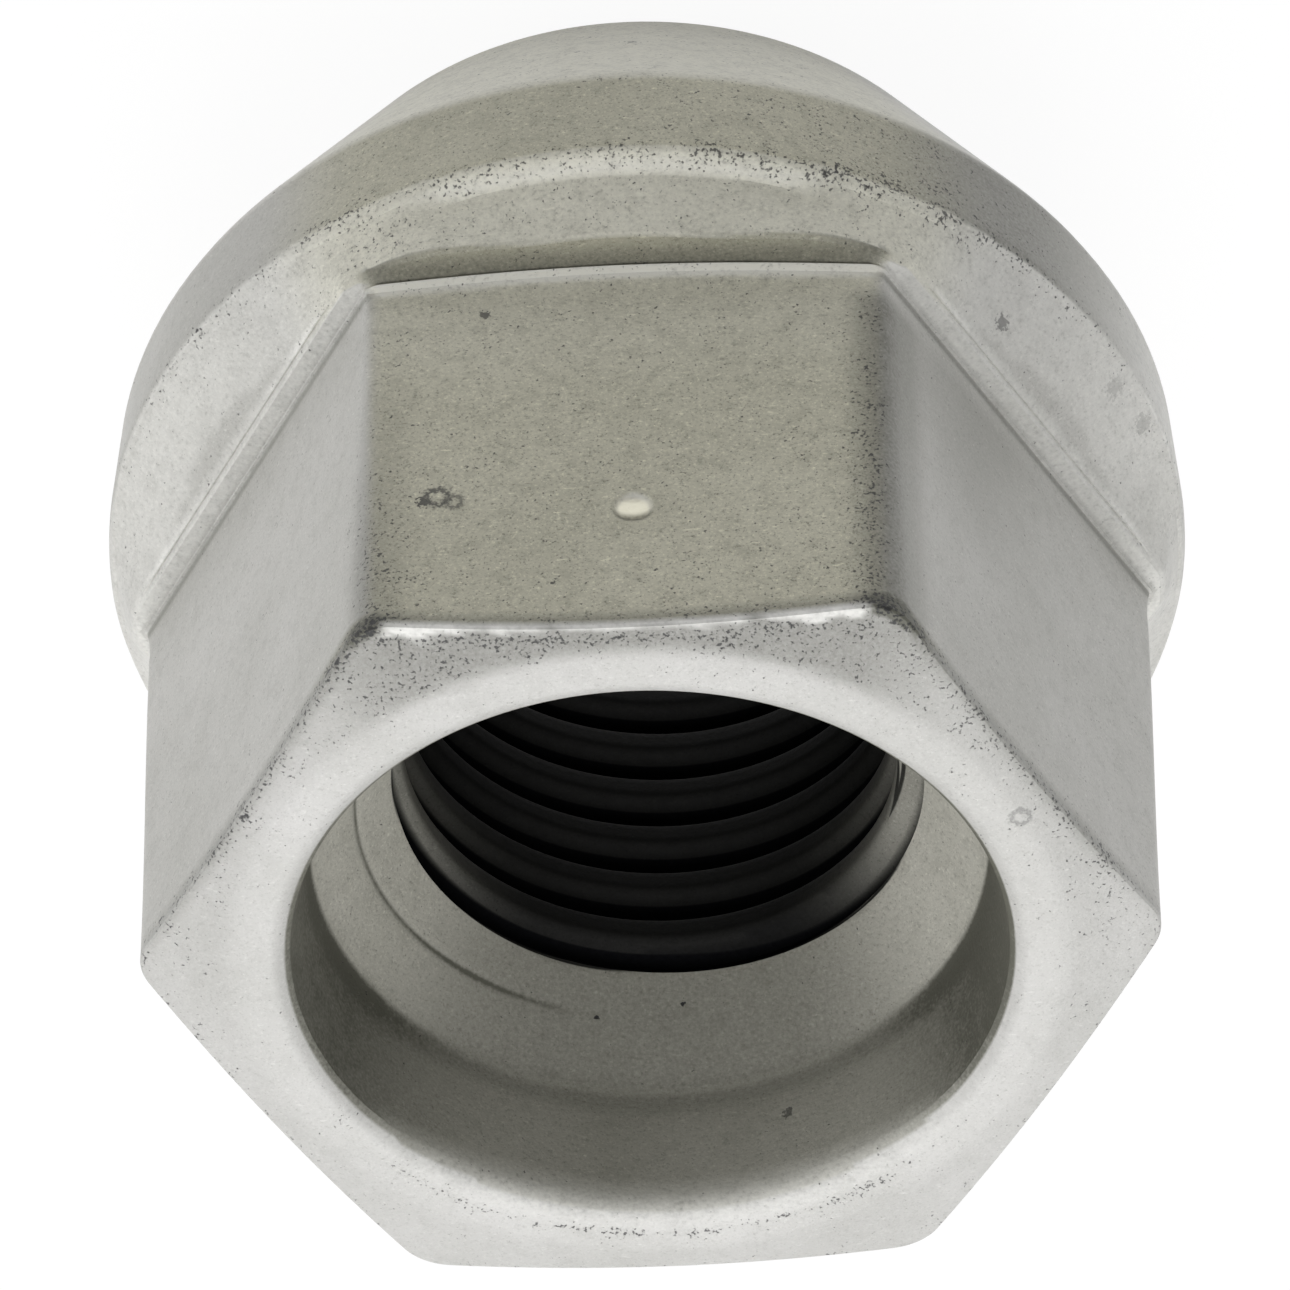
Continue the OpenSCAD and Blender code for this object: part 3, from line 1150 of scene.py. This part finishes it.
        # Painted highlights along the end face's edge over the flat that faces -Y and in the dimple.
        return value + self.front * thick + painted_dent_highlight * 1.3

    def grit(self) -> np.ndarray:
        """Gives how coarse the coating's grain is."""
        outside = np.where(self.drop > self.grain_drop, 0.42 + 0.38 * self.near, 0.28)
        return np.where(self.bore, 0.58, outside)

    def tapped(self) -> np.ndarray:
        """Gives how dark the thread's crests are: black steel, lighter at the sides near the throat and
        darkest on the far side and deep down, as painted shade.
        """
        return 0.96 - 0.62 * Span(0.2, 0.9).fall(-self.side) * Span(12.3, 15.8).rise(self.z)

    def scored(self) -> np.ndarray:
        """Gives 1 along the line that a tool left on the cone."""
        bore = Counterbore(Columns(), Thread(Columns()))
        line = self.bore * (self.z > 16.5) * Bell(bore.mark_r, 0.035).at(self.r)
        return line * bore.marked((self.angle + 180) % 360 - 180)


@dataclass
class LugNut:
    """The whole nut as one closed mesh."""

    finish: CoatedSteel = field(default_factory=CoatedSteel)
    columns: Columns = field(default_factory=Columns)
    weld: float = 0.0015
    sliver: float = 0.0005
    sharp_deg: float = 28.0
    layer_limit: float = 1.4

    def build(self) -> bpy.types.Object:
        """Builds, joins and dresses the nut.

        Returns:
            The nut's object.
        """
        material = self.finish.material()
        mesh = bpy.data.meshes.new("lug_nut_body")
        shell = self._shell(material)
        shell.to_mesh(mesh)
        shell.free()
        mesh.materials.clear()
        mesh.materials.append(material)
        for polygon in mesh.polygons:
            polygon.use_smooth = True
            polygon.material_index = 0
        mesh.set_sharp_from_angle(angle=math.radians(self.sharp_deg))
        self._layers(mesh)
        piece = bpy.data.objects.new("lug_nut_body", mesh)
        bpy.context.scene.collection.objects.link(piece)
        return piece

    def _shell(self, material: bpy.types.Material) -> bmesh.types.BMesh:
        """Joins the thread and the rings of the other surfaces to one closed shell.

        Args:
            material: Finish of the thread.

        Returns:
            The shell, in metres.
        """
        thread = Thread(self.columns)
        hexagon = Hexagon(self.columns)
        rings = Counterbore(self.columns, thread).rings()
        rings += hexagon.rings()
        rings += Flange(self.columns, hexagon).rings()
        rings.append((thread.turned_r(thread.low_z), thread.low_z))
        shell = bmesh.new()
        shell.from_mesh(thread.mesh(material))
        self._strip(shell, rings)
        bmesh.ops.remove_doubles(shell, verts=shell.verts, dist=self.weld * MM)
        bmesh.ops.dissolve_degenerate(shell, edges=shell.edges, dist=self.sliver * MM)
        Dimple().press(shell)
        bmesh.ops.recalc_face_normals(shell, faces=shell.faces)
        loose = sum(1 for edge in shell.edges if len(edge.link_faces) != 2)
        LOG.info("lug_nut: %d faces, %d edges not closed", len(shell.faces), loose)
        return shell

    def _strip(self, shell: bmesh.types.BMesh, rings: list[Ring]) -> None:
        """Adds the rings and the faces between them.

        Args:
            shell: Mesh that is added to.
            rings: Radius and height of every ring.
        """
        angle = self.columns.angles()
        rows = []
        for r, z in rings:
            x, y = r * np.cos(angle) * MM, r * np.sin(angle) * MM
            high = np.broadcast_to(z, angle.shape) * MM
            rows.append([shell.verts.new(spot) for spot in zip(x, y, high)])
        for first, second in zip(rows, rows[1:]):
            for i in range(len(first)):
                j = (i + 1) % len(first)
                shell.faces.new((first[i], first[j], second[j], second[i]))

    def _layers(self, mesh: bpy.types.Mesh) -> None:
        """Writes the layers that the coating reads.

        Args:
            mesh: The nut's mesh.
        """
        spots = np.empty(len(mesh.vertices) * 3)
        mesh.vertices.foreach_get("co", spots)
        for layer, value in Wear(*(spots.reshape(-1, 3).T / MM)).layers().items():
            made = mesh.attributes.new(layer.value, "FLOAT", "POINT")
            made.data.foreach_set("value", np.clip(value, 0.0, self.layer_limit).astype(np.float32))


@dataclass(frozen=True)
class Lamp:
    """A square soft lamp that looks at the nut."""

    name: str
    direction: Spot
    power: float
    size: float = 0.4
    distance: float = 0.5
    aim: Spot = (0.0, 0.0, 0.011)

    def build(self) -> None:
        """Adds the lamp to the scene."""
        data = bpy.data.lights.new(self.name, "AREA")
        data.energy = self.power
        data.size = self.size
        lamp = bpy.data.objects.new(self.name, data)
        away = Vector(self.direction).normalized()
        lamp.location = away * self.distance + Vector(self.aim)
        lamp.rotation_euler = away.to_track_quat("Z", "Y").to_euler()
        bpy.context.scene.collection.objects.link(lamp)


@dataclass
class Studio:
    """Pale floor, soft lamps and an even sky."""

    floor_half: float = 1.5
    floor_paint: Colour = (0.7, 0.7, 0.7, 1.0)
    floor_roughness: float = 0.9
    floor_glow: float = 1.04
    floor_seen: float = 0.9
    white: Colour = (1.0, 1.0, 1.0, 1.0)
    sky: float = 0.17
    lamps: tuple[Lamp, ...] = (
        Lamp("back_top", (0.0, 0.6, 0.8), 1.6),
        Lamp("front_top", (0.0, -0.2, 0.98), 1.15),
        Lamp("left", (0.97, 0.05, 0.25), 1.3),
        Lamp("right", (-0.9, 0.38, 0.22), 0.65),
    )

    def build(self) -> bpy.types.Object:
        """Builds the floor, the lamps and the sky.

        Returns:
            The floor.
        """
        self._sky()
        for lamp in self.lamps:
            lamp.build()
        mesh = bpy.data.meshes.new("floor")
        h = self.floor_half
        mesh.from_pydata([(-h, -h, 0), (h, -h, 0), (h, h, 0), (-h, h, 0)], [], [(0, 1, 2, 3)])
        floor = bpy.data.objects.new("floor", mesh)
        bpy.context.scene.collection.objects.link(floor)
        mesh.materials.append(self._paint())
        return floor

    def _sky(self) -> None:
        """Sets an even sky."""
        world = bpy.data.worlds.new("sky")
        world.use_nodes = True
        back = world.node_tree.nodes["Background"]
        back.inputs["Color"].default_value = self.white
        back.inputs["Strength"].default_value = self.sky
        bpy.context.scene.world = world

    def _paint(self) -> bpy.types.Material:
        """Makes the floor's white paint, which keeps a faint shadow.

        Returns:
            The material.
        """
        made = bpy.data.materials.new("floor_paint")
        made.use_nodes = True
        net = Net(made.node_tree)
        nodes = made.node_tree.nodes
        shader = nodes["Principled BSDF"]
        net.feed(shader.inputs["Base Color"], self.floor_paint)
        net.feed(shader.inputs["Roughness"], self.floor_roughness)
        path = net.raw("ShaderNodeLightPath", {}, {}).outputs
        camera, glossy, through = (
            Sock(net, path[f"Is {name} Ray"]) for name in ("Camera", "Glossy", "Transmission")
        )
        seen = (camera + glossy + through).clamp() * self.floor_seen
        glow = net.node("ShaderNodeEmission", {}, {"Color": self.white, "Strength": self.floor_glow})
        paint = Sock(net, shader.outputs["BSDF"])
        mixed = net.node("ShaderNodeMixShader", {}, {0: seen, 1: paint, 2: glow})
        net.feed(nodes["Material Output"].inputs["Surface"], mixed)
        return made


@dataclass
class Viewpoint:
    """Camera of the photograph, which looks down on the open end and shows the seat at the top."""

    place: Spot = (-0.0063681, -0.1402364, 0.1641042)
    right: Spot = (-0.9986898, 0.0509518, 0.0047521)
    up: Spot = (-0.0406863, -0.7342792, -0.6776273)
    focal_px: float = 9480.0
    sensor: float = 36.0
    clip: tuple[float, float] = (0.005, 20.0)

    def build(self) -> None:
        """Adds the camera and makes it the scene's."""
        data = bpy.data.cameras.new("camera")
        data.sensor_fit = "HORIZONTAL"
        data.sensor_width = self.sensor
        data.lens = self.focal_px / PHOTO_PX * self.sensor
        data.clip_start, data.clip_end = self.clip
        camera = bpy.data.objects.new("camera", data)
        right, up = Vector(self.right), Vector(self.up)
        turn = Matrix((right, up, right.cross(up))).transposed()
        camera.matrix_world = Matrix.Translation(self.place) @ turn.to_4x4()
        bpy.context.scene.collection.objects.link(camera)
        bpy.context.scene.camera = camera


def main() -> None:
    """Builds the nut, the studio and the camera."""
    logging.basicConfig(level=logging.INFO)
    bpy.context.scene.view_settings.view_transform = "Standard"
    nut = LugNut().build()
    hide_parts("lug_nut")
    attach(nut, "root")
    Studio().build()
    Viewpoint().build()


if __name__ == "__main__":
    main()
